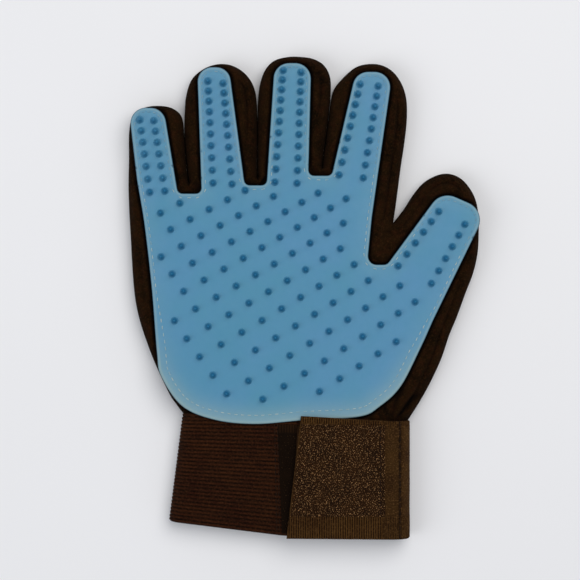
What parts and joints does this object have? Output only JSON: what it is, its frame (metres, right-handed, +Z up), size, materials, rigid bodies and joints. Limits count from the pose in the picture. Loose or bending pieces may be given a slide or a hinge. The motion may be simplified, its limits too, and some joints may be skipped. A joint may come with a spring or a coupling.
{
  "type": "grooming glove",
  "caption": "Right-hand grooming glove: padded fabric five-finger glove with a studded silicone palm pad, ribbed elastic cuff and hook-and-loop wrist strap.",
  "frame": {"origin": "under the middle of the glove's bounding box, on the surface it lies on, back down", "axes": "+X to the thumb side, +Y to the fingertips, +Z up out of the studded palm"},
  "size_m": [0.1693, 0.232, 0.0172],
  "materials": {
    "glove_fabric": "matt knit, near-black brown",
    "silicone": "satin blue silicone",
    "elastic": "ribbed elastic, dark brown",
    "webbing": "woven tape, dark brown",
    "hook_and_loop": "hook and loop pile, dark brown",
    "thread": "pale sewing thread"
  },
  "bodies": {
    "palm": {"palm_front": "glove_fabric", "palm_back": "glove_fabric", "little_side_strip": "glove_fabric", "little_ring_crotch": "glove_fabric", "ring_middle_crotch": "glove_fabric", "middle_index_crotch": "glove_fabric", "index_thumb_crotch": "glove_fabric", "thumb_side_strip": "glove_fabric", "palm_pad": "silicone", "pad_thread": "thread", "cuff_elastic": "elastic", "landing_tape": "hook_and_loop", "cuff_thread": "thread", "strap_root": "webbing"},
    "strap": {"strap_webbing": "webbing", "hook_tape": "hook_and_loop", "loop_tape": "hook_and_loop", "strap_thread": "thread"},
    "little_base": {"little_base_front": "glove_fabric", "little_base_back": "glove_fabric", "little_base_side_strips": "glove_fabric", "little_base_pad": "silicone"},
    "little_tip": {"little_tip_front": "glove_fabric", "little_tip_back": "glove_fabric", "little_tip_side_strips": "glove_fabric", "little_tip_pad": "silicone"},
    "ring_base": {"ring_base_front": "glove_fabric", "ring_base_back": "glove_fabric", "ring_base_side_strips": "glove_fabric", "ring_base_pad": "silicone"},
    "ring_tip": {"ring_tip_front": "glove_fabric", "ring_tip_back": "glove_fabric", "ring_tip_side_strips": "glove_fabric", "ring_tip_pad": "silicone"},
    "middle_base": {"middle_base_front": "glove_fabric", "middle_base_back": "glove_fabric", "middle_base_side_strips": "glove_fabric", "middle_base_pad": "silicone"},
    "middle_tip": {"middle_tip_front": "glove_fabric", "middle_tip_back": "glove_fabric", "middle_tip_side_strips": "glove_fabric", "middle_tip_pad": "silicone"},
    "index_base": {"index_base_front": "glove_fabric", "index_base_back": "glove_fabric", "index_base_side_strips": "glove_fabric", "index_base_pad": "silicone"},
    "index_tip": {"index_tip_front": "glove_fabric", "index_tip_back": "glove_fabric", "index_tip_side_strips": "glove_fabric", "index_tip_pad": "silicone"},
    "thumb_base": {"thumb_base_front": "glove_fabric", "thumb_base_back": "glove_fabric", "thumb_base_side_strips": "glove_fabric", "thumb_base_pad": "silicone"},
    "thumb_tip": {"thumb_tip_front": "glove_fabric", "thumb_tip_back": "glove_fabric", "thumb_tip_side_strips": "glove_fabric", "thumb_tip_pad": "silicone"}
  },
  "joints": [
    {"name": "strap_peel", "type": "hinge", "parent": "palm", "child": "strap", "pos_m": [0.043, -0.087, 0.0173], "axis": [0, 1, 0], "range_deg": [0, 170]},
    {"name": "little_root_bend", "type": "hinge", "parent": "palm", "child": "little_base", "pos_m": [-0.07, 0.054, 0.0134], "axis": [0.9962, 0.0872, 0], "range_deg": [0, 60], "stiffness_Nm_per_rad": 0.01},
    {"name": "little_middle_bend", "type": "hinge", "parent": "little_base", "child": "little_tip", "pos_m": [-0.07153, 0.07153, 0.0134], "axis": [0.9962, 0.0872, 0], "range_deg": [0, 50], "stiffness_Nm_per_rad": 0.01},
    {"name": "ring_root_bend", "type": "hinge", "parent": "palm", "child": "ring_base", "pos_m": [-0.039, 0.0576, 0.0134], "axis": [0.9998, 0.0175, 0], "range_deg": [0, 60], "stiffness_Nm_per_rad": 0.01},
    {"name": "ring_middle_bend", "type": "hinge", "parent": "ring_base", "child": "ring_tip", "pos_m": [-0.0394, 0.0806, 0.0134], "axis": [0.9998, 0.0175, 0], "range_deg": [0, 45], "stiffness_Nm_per_rad": 0.01},
    {"name": "middle_root_bend", "type": "hinge", "parent": "palm", "child": "middle_base", "pos_m": [-0.007, 0.064, 0.0134], "axis": [0.9982, -0.0593, 0], "range_deg": [0, 60], "stiffness_Nm_per_rad": 0.01},
    {"name": "middle_middle_bend", "type": "hinge", "parent": "middle_base", "child": "middle_tip", "pos_m": [-0.00567, 0.08636, 0.0134], "axis": [0.9982, -0.0593, 0], "range_deg": [0, 45], "stiffness_Nm_per_rad": 0.01},
    {"name": "index_root_bend", "type": "hinge", "parent": "palm", "child": "index_base", "pos_m": [0.028, 0.0601, 0.0134], "axis": [0.993, -0.1184, 0], "range_deg": [0, 60], "stiffness_Nm_per_rad": 0.01},
    {"name": "index_middle_bend", "type": "hinge", "parent": "index_base", "child": "index_tip", "pos_m": [0.03079, 0.08353, 0.0134], "axis": [0.993, -0.1184, 0], "range_deg": [0, 45], "stiffness_Nm_per_rad": 0.01},
    {"name": "thumb_root_bend", "type": "hinge", "parent": "palm", "child": "thumb_base", "pos_m": [0.06684, 0.02457, 0.0134], "axis": [0.8988, -0.4384, 0], "range_deg": [0, 45], "stiffness_Nm_per_rad": 0.01},
    {"name": "thumb_middle_bend", "type": "hinge", "parent": "thumb_base", "child": "thumb_tip", "pos_m": [0.07429, 0.03985, 0.0134], "axis": [0.8988, -0.4384, 0], "range_deg": [0, 50], "stiffness_Nm_per_rad": 0.01}
  ]
}
